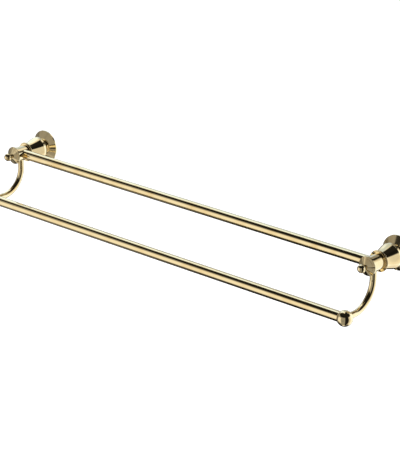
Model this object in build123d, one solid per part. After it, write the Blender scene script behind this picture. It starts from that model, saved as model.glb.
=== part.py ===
from build123d import *
import math
import os

# Double towel rack in polished brass: two wall posts carry an upper rail, and a
# curved arm under each post carries a second rail further out and lower down.
# Millimetres. The origin lies on the wall, midway between the posts, at the
# height of the upper rail. +X runs along the rails, -Y points out into the
# room and +Z is up. Each post is turned about its own axis, square to the wall.

# Overall places
CENTRES = 745.0  # from one post's axis to the other's
STANDOFF = 56.0  # from the wall to the upper rail's axis
FRONT_REACH = 65.0  # the front rail lies this far ahead of the upper one
FRONT_DROP = 65.0  # and this far below it

# Rails, round tubes
BAR_D = 16.0
BAR_WALL = 1.2
BAR_PAST = 2.0  # they run this far past the posts' axes, inside their sockets
HUB_SCREW_AT = 5.0  # their set screws stand this far inwards of those axes,
BALL_SCREW_AT = 1.0  # clear of the arm's socket in each hub

# Wall plate, a pressed steel cup that is screwed to the wall
PLATE_H = 4.2
PLATE_BASE = 1.8
PLATE_RIM = 1.8
SCREW_SPACING = 22.0
SCREW_HOLE_D = 4.5

# Flange, a turned cover that drops over the wall plate
FLANGE_D = 54.0
FLANGE_EDGE = 2.0  # straight rim at the wall
FLANGE_H = 8.4  # to the front of its sloping face
FLANGE_ROOF = 3.8
FLANGE_SIDE = 8.0
STEP_W = 2.1  # round step that stands out beyond the bell's foot
STEP_H = 2.2

# Bell, the turned body between flange and collar
FOOT_D = 27.0
COVE_D = 32.6  # where the hollow behind the bell ends
COVE_H = 4.9
BELL_D = 38.6  # at its widest
BELL_BACK = 7.3  # from the hollow to the widest place
BELL_NECK_D = 26.0
BELL_SWELL = 0.32  # share of the taper lost a third of the way forward
BELL_WAIST = 0.82  # and two thirds of the way

# Collar, a ring with a large bead and a small one ahead of it
COLLAR_D = 32.6
COLLAR_W = 1.6
BEAD_D = 29.4
BEAD_W = 1.1
BEAD_ROUND = 0.5  # how far each bead's edges lie below its crest

# Hub, the head that the upper rail and the arm enter
HUB_CHEEK = 4.0  # metal beside the rail
HUB_SHOULDER = 0.3  # metal between the rail and the collar
HUB_NOSE = 7.3  # metal between the rail and the cap
SPIGOT_D = 16.0
SPIGOT_GRIP = 8.0  # how deep the hub's spigot enters the bell
WEB = 0.4  # metal left between one blind hole and the next

# Cap and finial
CAP_D = 29.2
CAP_EDGE = 1.8
CAP_RISE = 5.5  # from the straight edge to the tip
CAP_STEP_D = 23.0  # where the slope is broken by a fine step
CAP_STEP_H = 0.4
CAP_TIP_D = 8.4
FINIAL_D = 12.8
FINIAL_NECK_D = 6.4
FINIAL_NECK_H = 1.7
FINIAL_STUD_D = 5.0

# Arm and ball
ARM_D = 10.0
ARM_AHEAD = 1.8  # the arm leaves the hub this far ahead of the upper rail's axis
ARM_BEND_R = 42.0
BALL_CHEEK = 4.0  # metal beside the front rail

# Fasteners
BOLT_D = 6.0
BOLT_HEAD_D = 10.0
BOLT_HEAD_H = 3.5
BOLT_GRIP = 11.0  # thread engaged in the hub's spigot
SET_SCREW_D = 4.0  # for the rails
FLANGE_SCREW_D = 3.0
KEY_SHARE = 0.5  # a key's width and depth, as a share of the screw's

# Polished edges
EASE = 0.4
BELL_EASE = 0.8  # at the bell's widest

# Clearances, on the radius
FIT = 0.05  # brazed, screwed and pushed seats
PASS = 0.3  # a shank passing through a hole
PLATE_FIT = 0.4  # wall plate inside the flange

# Worked out from the sizes above
bar_r = BAR_D / 2
arm_r = ARM_D / 2
hub_r = bar_r + HUB_CHEEK
ball_r = bar_r + BALL_CHEEK
foot_r = FOOT_D / 2
spigot_r = SPIGOT_D / 2
bolt_r = BOLT_D / 2
stud_r = FINIAL_STUD_D / 2
set_screw_r = SET_SCREW_D / 2
flange_screw_r = FLANGE_SCREW_D / 2
flange_r = FLANGE_D / 2
step_r = foot_r + STEP_W
bore_r = flange_r - FLANGE_SIDE
bore_depth = FLANGE_H - FLANGE_ROOF
plate_r = bore_r - PLATE_FIT
arm_end = bar_r + FIT + WEB  # the arm's ends stop this far short of the rails' axes

# Heights above the wall, along a post's axis
flange_screw_at = (PLATE_BASE + PLATE_H) / 2
foot_back = FLANGE_H + STEP_H
cove_front = foot_back + COVE_H
bell_widest = cove_front + BELL_BACK
hub_back = STANDOFF - bar_r - HUB_SHOULDER
collar_back = hub_back - COLLAR_W - BEAD_W
spigot_end = collar_back - SPIGOT_GRIP
bolt_end = spigot_end + BOLT_GRIP
hub_front = STANDOFF + bar_r + HUB_NOSE
arm_at = STANDOFF + ARM_AHEAD
stud_end = STANDOFF + arm_end
cap_front = hub_front + CAP_EDGE + CAP_RISE
front_rail_at = STANDOFF + FRONT_REACH

# A post's own frame: local z runs out from the wall, local y is up and local x
# points to the middle of the rack. The right post mirrors the left one.
POST = Location((-CENTRES / 2, 0, 0)) * Plane.XZ.location


def turned(*outline):
    """Solid of revolution about local z, from lines through (radius, height)."""
    return revolve(Plane.XZ * make_face(Curve() + list(outline)), Axis.Z)


def rod(radius, start, end):
    """Straight round rod between two points."""
    span = Vector(*end) - Vector(*start)
    return extrude(Plane(origin=start, z_dir=span.normalized()) * Circle(radius), span.length)


def eased(turning, height, radius):
    """Rounds the outermost sharp edge that a turning has at one height."""
    edges = turning.edges().filter_by_position(Axis.Z, height, height)
    return fillet(edges.sort_by(SortBy.RADIUS)[-1], radius)


def set_screw(radius, head, tip):
    """Headless screw with a hexagon socket in its outer end."""
    span = Vector(*tip) - Vector(*head)
    end = Plane(origin=head, z_dir=span.normalized())
    key = RegularPolygon(radius * KEY_SHARE, 6, major_radius=False)
    return rod(radius, head, tip) - extrude(end * key, span.length * KEY_SHARE)


def wall_plate():
    hole_r = BOLT_HEAD_D / 2 + PASS
    rim_in = plate_r - PLATE_RIM
    cup = turned(
        Polyline(
            (hole_r, 0),
            (plate_r, 0),
            (plate_r, PLATE_H),
            (rim_in, PLATE_H),
            (rim_in, PLATE_BASE),
            (hole_r, PLATE_BASE),
            close=True,
        )
    )
    for side in (1, -1):
        middle = side * SCREW_SPACING / 2
        cup -= rod(SCREW_HOLE_D / 2, (0, middle, 0), (0, middle, PLATE_BASE))
    return cup


def flange():
    cover = turned(
        Polyline(
            (bore_r, 0),
            (flange_r, 0),
            (flange_r, FLANGE_EDGE),
            (step_r, FLANGE_H),
            (step_r, foot_back),
            (bolt_r + PASS, foot_back),
            (bolt_r + PASS, bore_depth),
            (bore_r, bore_depth),
            close=True,
        )
    )
    cover = eased(eased(cover, FLANGE_EDGE, EASE), foot_back, EASE)
    below = (0, -FLANGE_D, flange_screw_at)
    return cover - rod(flange_screw_r + FIT, (0, -plate_r, flange_screw_at), below)


def flange_set_screw():
    """Grips the wall plate's rim from under the flange, its head just sunk."""
    slope = (flange_r - step_r) / (FLANGE_H - FLANGE_EDGE)
    head = flange_r - slope * (flange_screw_at + flange_screw_r - FLANGE_EDGE)
    tip = plate_r + FIT
    return set_screw(flange_screw_r, (0, -head, flange_screw_at), (0, -tip, flange_screw_at))


def bell():
    wide_r = BELL_D / 2
    neck_r = BELL_NECK_D / 2
    cove_end = (COVE_D / 2, cove_front)
    taper = wide_r - neck_r
    length = collar_back - bell_widest
    body = turned(
        TangentArc((foot_r, foot_back), cove_end, tangent=(0, 1)),
        Line(cove_end, (wide_r, bell_widest)),
        Bezier(
            (wide_r, bell_widest),
            (wide_r - BELL_SWELL * taper, bell_widest + length / 3),
            (wide_r - BELL_WAIST * taper, bell_widest + length * 2 / 3),
            (neck_r, collar_back),
        ),
        Polyline(
            (neck_r, collar_back),
            (spigot_r + FIT, collar_back),
            (spigot_r + FIT, spigot_end),
            (bolt_r + PASS, spigot_end),
            (bolt_r + PASS, foot_back),
            (foot_r, foot_back),
        ),
    )
    return eased(body, bell_widest, BELL_EASE)


def collar():
    crest = COLLAR_D / 2
    small_crest = BEAD_D / 2
    low = crest - BEAD_ROUND
    small_low = small_crest - BEAD_ROUND
    joint = collar_back + COLLAR_W
    bore = spigot_r + FIT
    return turned(
        ThreePointArc((low, collar_back), (crest, collar_back + COLLAR_W / 2), (low, joint)),
        Line((low, joint), (small_low, joint)),
        ThreePointArc((small_low, joint), (small_crest, joint + BEAD_W / 2), (small_low, hub_back)),
        Polyline((small_low, hub_back), (bore, hub_back), (bore, collar_back), (low, collar_back)),
    )


def rail_socket(height, reach):
    """Blind hole for a rail's end, open towards the middle of the rack."""
    return rod(bar_r + FIT, (-BAR_PAST - FIT, height, reach), (2 * hub_r, height, reach))


def under_hub(distance):
    """Point on the hub's set screw line, which leans forward beside the arm."""
    lean = distance * math.sin(math.radians(45))
    return (HUB_SCREW_AT, -lean, STANDOFF + lean)


def under_ball(distance):
    """Point on the ball's set screw line, straight below the front rail."""
    return (BALL_SCREW_AT, -FRONT_DROP - distance, front_rail_at)


def hub():
    head = rod(hub_r, (0, 0, hub_back), (0, 0, hub_front))
    head += rod(spigot_r, (0, 0, spigot_end), (0, 0, hub_back))
    head -= rail_socket(0, STANDOFF)
    head -= rod(arm_r + FIT, (0, -arm_end, arm_at), (0, -2 * hub_r, arm_at))
    head -= rod(bolt_r + FIT, (0, 0, spigot_end), (0, 0, bolt_end))
    head -= rod(stud_r + FIT, (0, 0, stud_end), (0, 0, hub_front))
    return head - rod(set_screw_r + FIT, under_hub(0), under_hub(2 * hub_r))


def post_bolt():
    """Screw that draws flange, bell and collar on to the hub from behind."""
    head_back = bore_depth - BOLT_HEAD_H
    bolt = rod(BOLT_HEAD_D / 2, (0, 0, head_back), (0, 0, bore_depth))
    bolt += rod(bolt_r, (0, 0, bore_depth), (0, 0, bolt_end))
    key = Plane.XY.offset(head_back) * RegularPolygon(bolt_r * KEY_SHARE, 6, major_radius=False)
    return bolt - extrude(key, BOLT_HEAD_H * KEY_SHARE)


def cap():
    edge_front = hub_front + CAP_EDGE
    slope = 2 * (CAP_RISE - CAP_STEP_H) / (CAP_D - CAP_TIP_D)
    step_back = edge_front + slope * (CAP_D - CAP_STEP_D) / 2
    disc = turned(
        Polyline(
            (stud_r + FIT, hub_front),
            (CAP_D / 2, hub_front),
            (CAP_D / 2, edge_front),
            (CAP_STEP_D / 2, step_back),
            (CAP_STEP_D / 2, step_back + CAP_STEP_H),
            (CAP_TIP_D / 2, cap_front),
            (stud_r + FIT, cap_front),
            close=True,
        )
    )
    return eased(disc, edge_front, EASE)


def finial():
    """Ball on a short neck, with the threaded stud that holds the cap on."""
    ball = FINIAL_D / 2
    neck = FINIAL_NECK_D / 2
    neck_front = cap_front + FINIAL_NECK_H
    centre = neck_front + math.sqrt(ball**2 - neck**2)
    return turned(
        Polyline(
            (0, centre + ball),
            (0, stud_end),
            (stud_r, stud_end),
            (stud_r, cap_front),
            (neck, cap_front),
            (neck, neck_front),
        ),
        ThreePointArc((neck, neck_front), (ball, centre), (0, centre + ball)),
    )


def arm():
    """Round rod: down from the hub, a quarter turn, then out to the ball."""
    bend_y = -FRONT_DROP + ARM_BEND_R
    bend_z = arm_at + ARM_BEND_R
    middle = ARM_BEND_R * math.sqrt(0.5)
    route = Curve() + [
        Line((0, -arm_end, arm_at), (0, bend_y, arm_at)),
        ThreePointArc(
            (0, bend_y, arm_at),
            (0, bend_y - middle, bend_z - middle),
            (0, -FRONT_DROP, bend_z),
        ),
        Line((0, -FRONT_DROP, bend_z), (0, -FRONT_DROP, front_rail_at - arm_end)),
    ]
    start = Plane(origin=(0, -arm_end, arm_at), z_dir=(0, -1, 0))
    return sweep(start * Circle(arm_r), path=route)


def ball():
    centre = (0, -FRONT_DROP, front_rail_at)
    knob = Pos(*centre) * Sphere(ball_r)
    knob -= rail_socket(-FRONT_DROP, front_rail_at)
    knob -= rod(arm_r + FIT, (0, -FRONT_DROP, front_rail_at - arm_end), (0, -FRONT_DROP, STANDOFF))
    return knob - rod(set_screw_r + FIT, under_ball(0), under_ball(2 * ball_r))


def rail_set_screws():
    """One screw under the hub and one under the ball, each just sunk."""
    hub_side = HUB_SCREW_AT + set_screw_r
    ball_side = BALL_SCREW_AT + set_screw_r
    hub_head = math.sqrt(2) * math.sqrt(hub_r**2 - hub_side**2) - set_screw_r
    ball_head = math.sqrt(ball_r**2 - ball_side**2 - set_screw_r**2)
    tip = bar_r + FIT
    return Compound(
        [
            set_screw(set_screw_r, under_hub(hub_head), under_hub(tip)),
            set_screw(set_screw_r, under_ball(ball_head), under_ball(tip)),
        ]
    )


def rail():
    """Tube from one post's socket to the other's, about its own middle."""
    half = CENTRES / 2 + BAR_PAST
    return rod(bar_r, (-half, 0, 0), (half, 0, 0)) - rod(bar_r - BAR_WALL, (-half, 0, 0), (half, 0, 0))


os.makedirs("parts", exist_ok=True)

export_step(Pos(0, -STANDOFF, 0) * rail(), "parts/upper_rail.step")
export_step(Pos(0, -front_rail_at, -FRONT_DROP) * rail(), "parts/front_rail.step")

POST_PARTS = {
    "wall_plate": wall_plate,
    "flange": flange,
    "flange_set_screw": flange_set_screw,
    "post_bolt": post_bolt,
    "bell": bell,
    "collar": collar,
    "hub": hub,
    "cap": cap,
    "finial": finial,
    "arm": arm,
    "ball": ball,
    "rail_set_screws": rail_set_screws,
}
for name, make in POST_PARTS.items():
    piece = POST * make()
    export_step(piece, f"parts/left_{name}.step")
    export_step(mirror(piece, about=Plane.YZ), f"parts/right_{name}.step")
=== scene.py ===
import math

import bpy
from mathutils import Matrix, Vector


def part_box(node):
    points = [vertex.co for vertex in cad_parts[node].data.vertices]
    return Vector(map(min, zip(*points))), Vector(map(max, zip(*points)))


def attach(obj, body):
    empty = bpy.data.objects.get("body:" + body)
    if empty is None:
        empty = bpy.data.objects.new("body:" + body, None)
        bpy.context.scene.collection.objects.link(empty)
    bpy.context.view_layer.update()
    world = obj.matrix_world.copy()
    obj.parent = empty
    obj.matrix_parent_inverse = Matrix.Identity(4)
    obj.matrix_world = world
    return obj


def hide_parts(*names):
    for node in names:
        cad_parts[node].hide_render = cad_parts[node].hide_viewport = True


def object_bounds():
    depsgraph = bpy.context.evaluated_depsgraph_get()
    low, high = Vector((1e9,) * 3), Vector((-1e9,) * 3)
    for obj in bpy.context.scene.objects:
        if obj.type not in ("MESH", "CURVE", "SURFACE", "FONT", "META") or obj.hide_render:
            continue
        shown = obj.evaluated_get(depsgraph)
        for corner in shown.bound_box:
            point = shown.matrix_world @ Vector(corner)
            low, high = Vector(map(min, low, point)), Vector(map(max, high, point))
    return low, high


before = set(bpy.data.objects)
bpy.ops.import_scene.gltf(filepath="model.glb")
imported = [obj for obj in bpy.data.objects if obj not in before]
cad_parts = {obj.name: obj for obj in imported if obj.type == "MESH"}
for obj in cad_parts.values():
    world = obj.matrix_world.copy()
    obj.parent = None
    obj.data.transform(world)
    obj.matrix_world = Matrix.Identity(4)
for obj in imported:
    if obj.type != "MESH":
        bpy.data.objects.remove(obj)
cad_box = [list(corner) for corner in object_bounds()]


# ---------------------------------------------------------------- wall plates
# A shallow cup pressed from 1.8 mm steel sheet and zinc plated, screwed to
# the wall before anything else. The flange drops over it and hides it, so
# only its back and its screw holes show, from behind.

ZINC = "#c2c0bb"              # clear zinc plate: a plain mid grey
ZINC_SHADE = "#aaa8a3"        # the same between its crystals
ZINC_CRYSTAL = 2.5            # mm across one crystal of the plating
ZINC_BLUR = (0.28, 0.44)      # roughness, in a crystal and at its edge
ZINC_RELIEF = 0.2             # mm, the bump's full height


def linear(hex_colour):
    """An sRGB hex colour as the linear numbers that a shader takes."""
    parts = [int(hex_colour[i:i + 2], 16) / 255 for i in (1, 3, 5)]
    return [c / 12.92 if c <= 0.04045 else ((c + 0.055) / 1.055) ** 2.4
            for c in parts] + [1.0]


def new_material(name):
    """An empty material and its node tree."""
    made = bpy.data.materials.new(name)
    made.use_nodes = True
    made.node_tree.nodes.clear()
    return made, made.node_tree


def add(tree, kind, links=(), **settings):
    """Adds a node with its settings, and links or sets its inputs."""
    node = tree.nodes.new(kind)
    for name, value in settings.items():
        setattr(node, name, value)
    for socket, source in links:
        if isinstance(source, bpy.types.NodeSocket):
            tree.links.new(source, node.inputs[socket])
        else:
            node.inputs[socket].default_value = source
    return node


def finish_in(made, *endings):
    """Gives this finish to the CAD pieces whose names end in these words."""
    for name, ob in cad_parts.items():
        if name.endswith(endings):
            for slot in ob.material_slots:
                slot.material = made


# Zinc-plated pressed steel is dull: a faint patchwork of crystals that catch
# the light differently, and no clear image of the room.
zinc, tree = new_material("zinc_plated_pressed_steel")
place = add(tree, "ShaderNodeTexCoord").outputs["Object"]
crystals = add(tree, "ShaderNodeTexVoronoi", [
    ("Vector", place), ("Scale", 1000 / ZINC_CRYSTAL)])
shade = add(tree, "ShaderNodeMix", [
    (0, crystals.outputs["Distance"]),
    (6, linear(ZINC)), (7, linear(ZINC_SHADE))], data_type="RGBA")
gloss = add(tree, "ShaderNodeMapRange", [
    ("Value", crystals.outputs["Distance"]),
    ("To Min", ZINC_BLUR[0]), ("To Max", ZINC_BLUR[1])])
grit = add(tree, "ShaderNodeBump", [
    ("Height", crystals.outputs["Distance"]),
    ("Strength", 0.2), ("Distance", ZINC_RELIEF / 1000)])
metal = add(tree, "ShaderNodeBsdfPrincipled", [
    ("Base Color", shade.outputs[2]), ("Metallic", 1.0),
    ("Roughness", gloss.outputs[0]), ("Normal", grit.outputs[0])])
add(tree, "ShaderNodeOutputMaterial", [("Surface", metal.outputs[0])])
finish_in(zinc, "wall_plate")


# --------------------------------------------------------------------- screws
# Machine screws and socket set screws in stainless steel: the bolt down the
# middle of each post, the screw that locks each flange, and the four that
# grip the rails. Their tips and heads are left as the lathe made them.

STAINLESS = "#c9c7c2"         # bare stainless steel, a little warm
STAINLESS_SHADE = "#aeaba6"   # in the tool marks
TOOL_MARK = 0.4               # mm from one mark to the next
TOOL_MARK_RELIEF = 0.1        # mm, the bump's full height
STAINLESS_BLUR = (0.34, 0.18)     # roughness, in a mark and beside it

# Turned stainless steel is brighter than zinc but blurs what it mirrors,
# because the tool leaves fine lines round it.
stainless, tree = new_material("turned_stainless_steel")
place = add(tree, "ShaderNodeTexCoord").outputs["Object"]
marks = add(tree, "ShaderNodeTexNoise", [
    ("Vector", place), ("Scale", 1000 / TOOL_MARK), ("Detail", 2.0)])
shade = add(tree, "ShaderNodeMix", [
    (0, marks.outputs["Fac"]),
    (6, linear(STAINLESS_SHADE)), (7, linear(STAINLESS))], data_type="RGBA")
gloss = add(tree, "ShaderNodeMapRange", [
    ("Value", marks.outputs["Fac"]),
    ("To Min", STAINLESS_BLUR[0]), ("To Max", STAINLESS_BLUR[1])])
lines = add(tree, "ShaderNodeBump", [
    ("Height", marks.outputs["Fac"]),
    ("Strength", 0.15), ("Distance", TOOL_MARK_RELIEF / 1000)])
metal = add(tree, "ShaderNodeBsdfPrincipled", [
    ("Base Color", shade.outputs[2]), ("Metallic", 1.0),
    ("Roughness", gloss.outputs[0]), ("Normal", lines.outputs[0])])
add(tree, "ShaderNodeOutputMaterial", [("Surface", metal.outputs[0])])
finish_in(stainless, "post_bolt", "set_screw", "set_screws")


# ---------------------------------------------------------------------- posts
# Everything that is threaded on the bolt of a post, from the wall out:
# flange, bell, collar, hub, cap and finial. Each is turned from brass bar,
# buffed to a mirror on a cloth wheel and clear lacquered.

BRASS = "#f8e1ad"             # polished yellow brass
BRASS_AGED = "#efd196"        # where the lacquer has let it warm a little
TONED_PATCH = 24.0            # mm across a patch where the brass has warmed
LACQUER, LACQUER_BLUR = 0.3, 0.03     # its weight as a coat, its roughness
TURNED_LINE = 0.9             # mm; really about 0.1, drawn coarser to show
TURNED_RELIEF = 0.015         # mm, the bump's full height
BUFFED_PATCH = 9.0            # mm across a patch that is buffed less bright
BUFFED_BLUR = (0.04, 0.10)    # roughness, in a bright patch and a dull one


def lacquered_brass(tree, place, gloss, relief):
    """Ends a brass material: its colour, warmer in broad soft patches, the
    gloss and the relief that its making left, and clear lacquer over all."""
    toned = add(tree, "ShaderNodeTexNoise", [
        ("Vector", place), ("Scale", 1000 / TONED_PATCH), ("Detail", 2.0)])
    warm = add(tree, "ShaderNodeMapRange", [
        ("Value", toned.outputs["Fac"]),
        ("From Min", 0.45), ("From Max", 0.75)])
    shade = add(tree, "ShaderNodeMix", [
        (0, warm.outputs[0]),
        (6, linear(BRASS)), (7, linear(BRASS_AGED))], data_type="RGBA")
    metal = add(tree, "ShaderNodeBsdfPrincipled", [
        ("Base Color", shade.outputs[2]), ("Metallic", 1.0),
        ("Roughness", gloss.outputs[0]), ("Normal", relief.outputs[0]),
        ("Coat Weight", LACQUER), ("Coat Roughness", LACQUER_BLUR)])
    add(tree, "ShaderNodeOutputMaterial", [("Surface", metal.outputs[0])])


# Turned, buffed and lacquered brass mirrors the room sharply, in its own
# yellow. Faint rings from the lathe run round the post, the gloss drifts from
# patch to patch as the wheel left it, and the lacquer adds a clear edge.
post_low, post_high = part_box("right_finial")
post_x = (post_low.x + post_high.x) / 2
turned_brass, tree = new_material("turned_buffed_lacquered_brass")
place = add(tree, "ShaderNodeTexCoord").outputs["Object"]
split = add(tree, "ShaderNodeSeparateXYZ", [(0, place)])
either = add(tree, "ShaderNodeMath", [(0, split.outputs["X"])],
             operation="ABSOLUTE")
across = add(tree, "ShaderNodeMath", [(0, either.outputs[0]), (1, post_x)],
             operation="SUBTRACT")
spoke = add(tree, "ShaderNodeCombineXYZ", [
    ("X", across.outputs[0]), ("Z", split.outputs["Z"])])
radius = add(tree, "ShaderNodeVectorMath", [(0, spoke.outputs[0])],
             operation="LENGTH")
profile = add(tree, "ShaderNodeCombineXYZ", [
    ("X", radius.outputs["Value"]), ("Y", split.outputs["Y"])])
rings = add(tree, "ShaderNodeTexNoise", [
    ("Vector", profile.outputs[0]), ("Scale", 1000 / TURNED_LINE),
    ("Detail", 2.0)])
patches = add(tree, "ShaderNodeTexNoise", [
    ("Vector", place), ("Scale", 1000 / BUFFED_PATCH), ("Detail", 3.0)])
gloss = add(tree, "ShaderNodeMapRange", [
    ("Value", patches.outputs["Fac"]), ("From Min", 0.3), ("From Max", 0.7),
    ("To Min", BUFFED_BLUR[0]), ("To Max", BUFFED_BLUR[1])])
lathe = add(tree, "ShaderNodeBump", [
    ("Height", rings.outputs["Fac"]),
    ("Strength", 0.12), ("Distance", TURNED_RELIEF / 1000)])
lacquered_brass(tree, place, gloss, lathe)
finish_in(turned_brass, "flange", "collar", "hub", "cap", "finial")


# ---------------------------------------------------------------------- bells
# The flared part of each post, turned from one piece of brass bar and buffed
# with it: a cove next to the flange, a rounded band where it is widest, and a
# waisted taper out to the collar. The bolt passes down its middle.

# mm, with places given from the foot on the flange
FOOT = 13.5                           # radius at the flange
COVE, COVE_LONG = 16.3, 2.8           # radius where the cove ends, its length
BAND_FROM, BAND_TO = 5.0, 9.8         # where the band starts and ends
BAND_ROUND = 1.3                      # radius of the band's corner at the cove
NECK = 13.0                           # radius at the collar
BORE = 3.3                            # radius round the bolt
SOCKET, SOCKET_LONG = 8.05, 8.0       # radius and depth round the hub's spigot

SWELL, WAIST = 0.32, 0.82             # how the taper bows out, then in
TURNS = 144                           # flats round the bell
STEPS = 36                            # flats along each curve
SHARP = 35.0                          # degrees; blunter edges are smooth


def arc(start, end, curve):
    """Points along a curve from start to end, both included."""
    return [curve(start + (end - start) * i / STEPS) for i in range(STEPS + 1)]


def bell(side):
    """One bell, from its foot on the flange to its neck in the collar."""
    low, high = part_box(side + "_bell")
    centre = (low.x + high.x) / 2
    widest = (high.x - low.x) * 1000 / 2
    long = (high.y - low.y) * 1000
    deep = COVE - FOOT
    hollow = (deep ** 2 + COVE_LONG ** 2) / (2 * deep)    # the cove's radius
    taper = widest - NECK
    bows = (widest, widest - SWELL * taper, widest - WAIST * taper, NECK)

    def cove(s):
        return FOOT + hollow - math.sqrt(hollow ** 2 - s ** 2), s

    def corner(turn):
        return (widest - BAND_ROUND + BAND_ROUND * math.sin(turn),
                BAND_FROM + BAND_ROUND - BAND_ROUND * math.cos(turn))

    def band(s):
        return widest, s

    def waisted(share):
        left = 1 - share
        return (bows[0] * left ** 3 + 3 * bows[1] * share * left ** 2
                + 3 * bows[2] * share ** 2 * left + bows[3] * share ** 3,
                BAND_TO + (long - BAND_TO) * share)

    outline = (arc(0, COVE_LONG, cove)
               + arc(0, math.pi / 2, corner)
               + arc(BAND_FROM + BAND_ROUND, BAND_TO, band)[1:]
               + arc(0, 1, waisted)[1:]
               + [(SOCKET, long), (SOCKET, long - SOCKET_LONG),
                  (BORE, long - SOCKET_LONG), (BORE, 0)])
    ring = len(outline)
    turns = [2 * math.pi * k / TURNS for k in range(TURNS)]
    corners = [(centre + r / 1000 * math.cos(a), high.y - s / 1000,
                r / 1000 * math.sin(a)) for a in turns for r, s in outline]
    faces = [(k * ring + i, k * ring + (i + 1) % ring,
              (k + 1) % TURNS * ring + (i + 1) % ring,
              (k + 1) % TURNS * ring + i)
             for k in range(TURNS) for i in range(ring)]
    mesh = bpy.data.meshes.new(side + "_turned_bell")
    mesh.from_pydata(corners, [], faces)
    mesh.materials.append(turned_brass)
    mesh.shade_smooth()
    mesh.set_sharp_from_angle(angle=math.radians(SHARP))
    made = bpy.data.objects.new(side + "_turned_bell", mesh)
    bpy.context.scene.collection.objects.link(made)
    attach(made, "root")
    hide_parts(side + "_bell")


bell("left")
bell("right")


# ------------------------------------------------------------- arms and balls
# Each arm is a 10 mm brass bar bent out of the hub, forward and down to the
# ball that carries the front rail. It is bent first and buffed after, so the
# bend keeps very slight ripples under its polish.

BENT_RIPPLE = 7.0             # mm from one ripple to the next
BENT_RELIEF = 0.3             # mm, the bump's full height
BUFF_SCRATCH = 0.8            # mm; really about 0.05, drawn coarser to show
BENT_BLUR = (0.05, 0.11)      # roughness, between scratches and in them

# Bent and buffed brass bar: the same yellow mirror as the posts, a little
# softer, with hair scratches from the wheel that run every way.
buffed_brass, tree = new_material("bent_buffed_lacquered_brass_bar")
place = add(tree, "ShaderNodeTexCoord").outputs["Object"]
ripples = add(tree, "ShaderNodeTexNoise", [
    ("Vector", place), ("Scale", 1000 / BENT_RIPPLE), ("Detail", 1.0)])
scratches = add(tree, "ShaderNodeTexNoise", [
    ("Vector", place), ("Scale", 1000 / BUFF_SCRATCH), ("Detail", 4.0),
    ("Distortion", 2.0)])
gloss = add(tree, "ShaderNodeMapRange", [
    ("Value", scratches.outputs["Fac"]), ("From Min", 0.3), ("From Max", 0.7),
    ("To Min", BENT_BLUR[0]), ("To Max", BENT_BLUR[1])])
bent = add(tree, "ShaderNodeBump", [
    ("Height", ripples.outputs["Fac"]),
    ("Strength", 0.1), ("Distance", BENT_RELIEF / 1000)])
lacquered_brass(tree, place, gloss, bent)
finish_in(buffed_brass, "arm", "ball")


# ---------------------------------------------------------------------- rails
# Two 16 mm brass tubes, drawn through a die, polished along their length and
# clear lacquered. Their ends are closed in by the hubs and the balls, where
# a set screw grips each one.

DRAWN_LINE = 0.5              # mm; really about 0.05, drawn coarser to show
DRAWN_LENGTH = 60.0           # mm along one line
DRAWN_RELIEF = 0.03           # mm, the bump's full height
DRAWN_BLUR = (0.05, 0.10)     # roughness, between lines and in them

# Drawn and polished brass tube: long clean streaks of light along the rail,
# with faint lines down its length that the die and the belt have left.
drawn_brass, tree = new_material("drawn_polished_lacquered_brass_tube")
place = add(tree, "ShaderNodeTexCoord").outputs["Object"]
along = add(tree, "ShaderNodeMapping", [
    ("Vector", place),
    ("Scale", (1000 / DRAWN_LENGTH, 1000 / DRAWN_LINE, 1000 / DRAWN_LINE))])
die_lines = add(tree, "ShaderNodeTexNoise", [
    ("Vector", along.outputs[0]), ("Scale", 1.0), ("Detail", 2.0)])
gloss = add(tree, "ShaderNodeMapRange", [
    ("Value", die_lines.outputs["Fac"]), ("From Min", 0.3), ("From Max", 0.7),
    ("To Min", DRAWN_BLUR[0]), ("To Max", DRAWN_BLUR[1])])
drawn = add(tree, "ShaderNodeBump", [
    ("Height", die_lines.outputs["Fac"]),
    ("Strength", 0.1), ("Distance", DRAWN_RELIEF / 1000)])
lacquered_brass(tree, place, gloss, drawn)
finish_in(drawn_brass, "rail")


# ------------------------------------------------------ cards round the rack
# Polished brass shows only what stands round it, so the rack is lit as a
# jeweller lights a ring: white all round, with grey and black cloths and a
# few bright panels hung out of sight. Only mirrors see them.

CARD_DISTANCE = 6.02          # m, so far that both posts mirror them the same
CARD_GAP = 0.02               # m from one card to the next behind it
CARD_GRID = 2.0               # degrees between a card's corners
NEAR_POLE = 89.5              # degrees, the highest or lowest a card reaches
DAYLIGHT = "#cee2fa"          # as cool as a north window
PALE_DAYLIGHT = "#dce8f8"     # a little less cool
middle = (Vector(cad_box[0]) + Vector(cad_box[1])) / 2
cards = []


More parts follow.
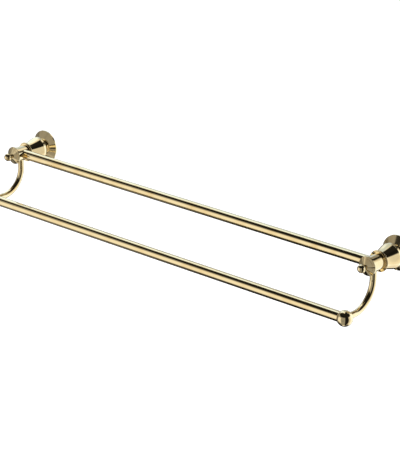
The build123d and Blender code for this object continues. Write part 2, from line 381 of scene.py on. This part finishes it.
def card(name, turn, rise, light, soft, colour="#ffffff"):
    """A bowed cloth or panel between two turns and two rises, in degrees seen
    from the rack. Turn 0 is straight out from the wall and 90 is +X. light is
    0 for black, 1 for white. soft is how wide its left, right, low and high
    edges fade, each centred on that edge."""
    away = CARD_DISTANCE + CARD_GAP * len(cards)
    left, right, low, high = (fading / 2 for fading in soft)
    wide = [turn[0] - left, turn[1] + right]
    tall = [max(rise[0] - low, -NEAR_POLE), min(rise[1] + high, NEAR_POLE)]
    across = max(2, round((wide[1] - wide[0]) / CARD_GRID))
    up = max(2, round((tall[1] - tall[0]) / CARD_GRID))
    row = across + 1

    def fade(value, edge, half):
        share = min(1, max(0, (value - edge + half) / (2 * half)))
        return share * share * (3 - 2 * share)

    corners, cover = [], []
    for j in range(up + 1):
        b = tall[0] + (tall[1] - tall[0]) * j / up
        for i in range(row):
            a = wide[0] + (wide[1] - wide[0]) * i / across
            corners.append(middle + away * Vector((
                math.sin(math.radians(a)) * math.cos(math.radians(b)),
                -math.cos(math.radians(a)) * math.cos(math.radians(b)),
                math.sin(math.radians(b)))))
            cover.append(fade(a, turn[0], left) * fade(-a, -turn[1], right)
                         * fade(b, rise[0], low) * fade(-b, -rise[1], high))
    mesh = bpy.data.meshes.new(name)
    mesh.from_pydata(corners, [], [
        (first, first + 1, first + 1 + row, first + row)
        for j in range(up) for first in range(j * row, j * row + across)])
    layer = mesh.attributes.new("cover", "FLOAT", "POINT")
    layer.data.foreach_set("value", cover)
    made, tree = new_material(name)
    weave = add(tree, "ShaderNodeAttribute", attribute_name="cover")
    clear = add(tree, "ShaderNodeBsdfTransparent")
    glow = add(tree, "ShaderNodeEmission", [
        ("Color", linear(colour)), ("Strength", light)])
    both = add(tree, "ShaderNodeMixShader", [
        (0, weave.outputs["Fac"]), (1, clear.outputs[0]),
        (2, glow.outputs[0])])
    add(tree, "ShaderNodeOutputMaterial", [("Surface", both.outputs[0])])
    mesh.materials.append(made)
    hung = bpy.data.objects.new(name, mesh)
    bpy.context.scene.collection.objects.link(hung)
    # only what the brass mirrors meets it
    hung.visible_camera = False
    hung.visible_diffuse = False
    hung.visible_shadow = False
    cards.append(hung)


# The nearest come first, and hide those that hang behind them. At the right
# and at the back: the dark side of the bells and hubs.
card("black_side_cloth", (45, 94), (-80, 88), 0.012, (8, 10, 8, 4))
card("grey_side_cloth", (94, 112), (-60, 20), 0.75, (4, 12, 10, 8))
card("black_back_cloth", (148, 180), (35, 46), 0.015, (12, 5, 5, 5))
card("brown_back_cloth", (178, 214), (27, 46), 0.3, (4, 12, 10, 6))
# Overhead: the dark line along the top of each rail, and the hubs' stripes.
card("black_high_cloth", (-95, 205), (54, 89), 0.015, (30, 20, 8, 1))
card("black_top_cloth", (-93, 150), (31.5, 60), 0.01, (32, 8, 6, 1))
card("black_front_cloth", (-42, 50), (27, 40), 0.04, (8, 8, 1, 4))
card("black_right_cloth", (90, 140), (24, 50), 0.015, (10, 14, 12, 8))
# In front: the even tan of the flanges and caps, with one stripe across it.
card("dark_strip", (4, 28), (-18.5, -12.5), 0.03, (3, 4, 2, 2))
card("light_strip", (-2, 20), (-12.5, -6.5), 0.42, (3, 6, 2, 4))
card("grey_front_cloth", (-14, 50), (-60, 32), 0.33, (14, 8, 10, 6))
card("grey_header", (-70, 50), (18, 36), 0.33, (10, 8, 12, 6))
card("grey_corner_cloth", (-75, -52), (6, 36), 0.33, (6, 8, 8, 6))
# At the left and low down: the dark line under each rail, bell and ball.
card("dark_back_cloth", (-172, -98), (-62, 0), 0.015, (12, 14, 10, 10))
card("dark_left_cloth", (-112, -64), (-50, 30), 0.2, (10, 8, 8, 8))
card("dark_low_cloth", (-130, -44), (-75, -33), 0.01, (20, 20, 10, 10))
card("grey_low_cloth", (-48, 50), (-80, -46), 0.33, (10, 8, 10, 16))
card("dark_under_cloth", (100, 232), (-88, -60), 0.06, (14, 14, 1, 10))
# The lit panels: the bright streaks along the rails, bells and hubs.
card("left_panel", (-128, -100), (5, 68), 1.75, (6, 10, 8, 8), DAYLIGHT)
card("left_grey_wall", (-165, -128), (5, 60), 1.05, (10, 6, 10, 10), DAYLIGHT)
card("right_panel", (128, 186), (-50, 26), 1.6, (14, 10, 10, 12),
     PALE_DAYLIGHT)


# ------------------------------------------------------------ floor and light
# A plain white floor a usual 1.1 m under the rails, with white all round it.
# The light is even, with one big soft lamp high at the back left that gives
# the floor the rack's faint shadow.

FLOOR_DROP = 1.1              # m from the rails to the floor
FLOOR_REACH = 30              # m from the rack to each side of the floor
FLOOR_PAINT = "#f2f2f2"       # matt white
FLOOR_GLOW = 0.5              # what the floor adds where it is looked at
ROOM_LIGHT = 0.65             # how brightly the white room lights things
LAMP_SIDE = 2.5               # m
LAMP_POWER = 60               # W
LAMP_FROM = (-2.4, 0.8, 3.0)  # m from the rack to the lamp


def looked_at(tree):
    """1 for a ray that shows a thing to the eye: from the camera, or sent on
    by a gloss or through something clear."""
    path = add(tree, "ShaderNodeLightPath")
    either = add(tree, "ShaderNodeMath", [
        (0, path.outputs["Is Camera Ray"]),
        (1, path.outputs["Is Glossy Ray"])], operation="MAXIMUM")
    return add(tree, "ShaderNodeMath", [
        (0, either.outputs[0]),
        (1, path.outputs["Is Transmission Ray"])], operation="MAXIMUM")


# The brass mirrors the white room and not the floor, which ends in an edge.
floor_mesh = bpy.data.meshes.new("floor")
floor_mesh.from_pydata(
    [(x * FLOOR_REACH, y * FLOOR_REACH, 0)
     for x, y in ((-1, -1), (1, -1), (1, 1), (-1, 1))], [], [(0, 1, 2, 3)])
floor = bpy.data.objects.new("floor", floor_mesh)
floor.location = (0, 0, cad_box[0][2] - FLOOR_DROP)
floor.visible_glossy = False
bpy.context.scene.collection.objects.link(floor)

# White matt paint: even and without gloss, so the shadow on it stays soft.
painted, tree = new_material("white_painted_floor")
paint = add(tree, "ShaderNodeBsdfDiffuse", [("Color", linear(FLOOR_PAINT))])
lift = add(tree, "ShaderNodeEmission", [("Strength", FLOOR_GLOW)])
lit = add(tree, "ShaderNodeAddShader", [
    (0, paint.outputs[0]), (1, lift.outputs[0])])
seen = add(tree, "ShaderNodeMixShader", [
    (0, looked_at(tree).outputs[0]), (1, paint.outputs[0]),
    (2, lit.outputs[0])])
add(tree, "ShaderNodeOutputMaterial", [("Surface", seen.outputs[0])])
floor_mesh.materials.append(painted)

room = bpy.data.worlds.new("white_room")
bpy.context.scene.world = room
room.use_nodes = True
tree = room.node_tree
tree.nodes.clear()
soft_light = add(tree, "ShaderNodeBackground", [
    ("Color", linear("#ffffff")), ("Strength", ROOM_LIGHT)])
white = add(tree, "ShaderNodeBackground", [
    ("Color", linear("#ffffff")), ("Strength", 1.0)])
seen = add(tree, "ShaderNodeMixShader", [
    (0, looked_at(tree).outputs[0]), (1, soft_light.outputs[0]),
    (2, white.outputs[0])])
add(tree, "ShaderNodeOutputWorld", [("Surface", seen.outputs[0])])

lamp_light = bpy.data.lights.new("soft_lamp", "AREA")
lamp_light.shape = "SQUARE"
lamp_light.size = LAMP_SIDE
lamp_light.energy = LAMP_POWER
lamp = bpy.data.objects.new("soft_lamp", lamp_light)
lamp.location = middle + Vector(LAMP_FROM)
lamp.rotation_mode = "QUATERNION"
lamp.rotation_quaternion = Vector(LAMP_FROM).to_track_quat("Z", "Y")
lamp.visible_glossy = False
bpy.context.scene.collection.objects.link(lamp)


# --------------------------------------------------------------------- camera
# Well to the right of the rack and a little above it, with a long lens.

CAMERA_TURN = 42.55           # degrees round from straight in front
CAMERA_RISE = 20.43           # degrees above level
CAMERA_AT = (1.7962, -1.9737, 0.9372)
LENS, SENSOR = 161.64, 36     # mm, the focal length and the sensor's width
FARTHEST = 100                # m, the farthest that it sees

turn, rise = math.radians(CAMERA_TURN), math.radians(CAMERA_RISE)
back = Vector((math.sin(turn) * math.cos(rise),
               -math.cos(turn) * math.cos(rise), math.sin(rise)))
across = Vector((math.cos(turn), math.sin(turn), 0))
camera = bpy.data.objects.new("camera", bpy.data.cameras.new("camera"))
camera.matrix_world = Matrix.Translation(CAMERA_AT) @ Matrix(
    (across, back.cross(across), back)).transposed().to_4x4()
camera.data.sensor_fit = "HORIZONTAL"
camera.data.sensor_width = SENSOR
camera.data.lens = LENS
camera.data.clip_end = FARTHEST
bpy.context.scene.collection.objects.link(camera)
bpy.context.scene.camera = camera
bpy.context.scene.view_settings.view_transform = "Standard"
